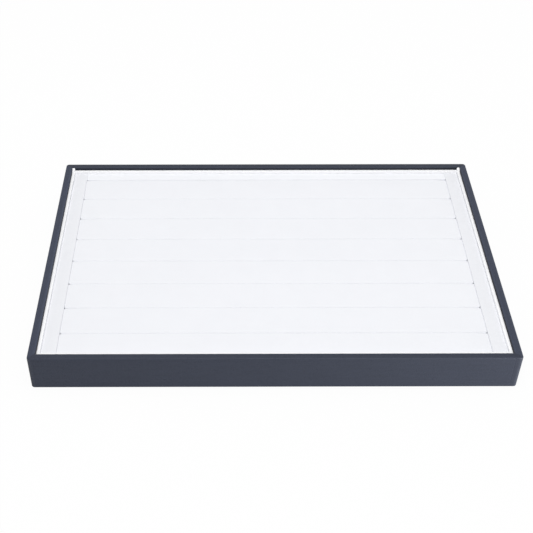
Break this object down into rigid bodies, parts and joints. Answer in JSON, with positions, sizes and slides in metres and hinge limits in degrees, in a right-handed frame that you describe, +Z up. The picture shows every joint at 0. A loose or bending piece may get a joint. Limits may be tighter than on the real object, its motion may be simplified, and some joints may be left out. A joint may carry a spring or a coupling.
{
  "type": "ring display tray",
  "caption": "Low rectangular display tray with a dark leatherette frame and a white lift-out padded insert whose rolls hold rings in the slits between them.",
  "frame": {"origin": "centre of the tray's underside", "axes": "+X to the right along the ring rolls, +Y to the back, +Z up"},
  "size_m": [0.35, 0.24, 0.029],
  "materials": {
    "leatherette": "matte fine-grained dark slate-navy leatherette",
    "board": "fibreboard",
    "pin_steel": "bright drawn wire",
    "felt": "dark felt",
    "liner_fabric": "white microfibre over card",
    "card": "grey board",
    "foam": "white foam",
    "pad_fabric": "white short-pile microfibre"
  },
  "bodies": {
    "tray": {"rail_front": "board", "rail_back": "board", "rail_left": "board", "rail_right": "board", "corner_pins": "pin_steel", "wrap_front": "leatherette", "wrap_back": "leatherette", "wrap_left": "leatherette", "wrap_right": "leatherette", "base_board": "board", "base_felt": "felt", "liner_front": "liner_fabric", "liner_back": "liner_fabric", "liner_left": "liner_fabric", "liner_right": "liner_fabric"},
    "insert": {"insert_card": "card", "side_pad_left_core": "foam", "side_pad_right_core": "foam", "back_strip_core": "foam", "roll_1_core": "foam", "roll_2_core": "foam", "roll_3_core": "foam", "roll_4_core": "foam", "roll_5_core": "foam", "roll_6_core": "foam", "roll_7_core": "foam", "front_roll_core": "foam", "side_pad_left_cover": "pad_fabric", "side_pad_right_cover": "pad_fabric", "back_strip_cover": "pad_fabric", "roll_1_cover": "pad_fabric", "roll_2_cover": "pad_fabric", "roll_3_cover": "pad_fabric", "roll_4_cover": "pad_fabric", "roll_5_cover": "pad_fabric", "roll_6_cover": "pad_fabric", "roll_7_cover": "pad_fabric", "front_roll_cover": "pad_fabric"}
  },
  "joints": [
    {"name": "insert_lift", "type": "slide", "parent": "tray", "child": "insert", "axis": [0, 0, 1], "range_m": [0, 0.04]}
  ]
}
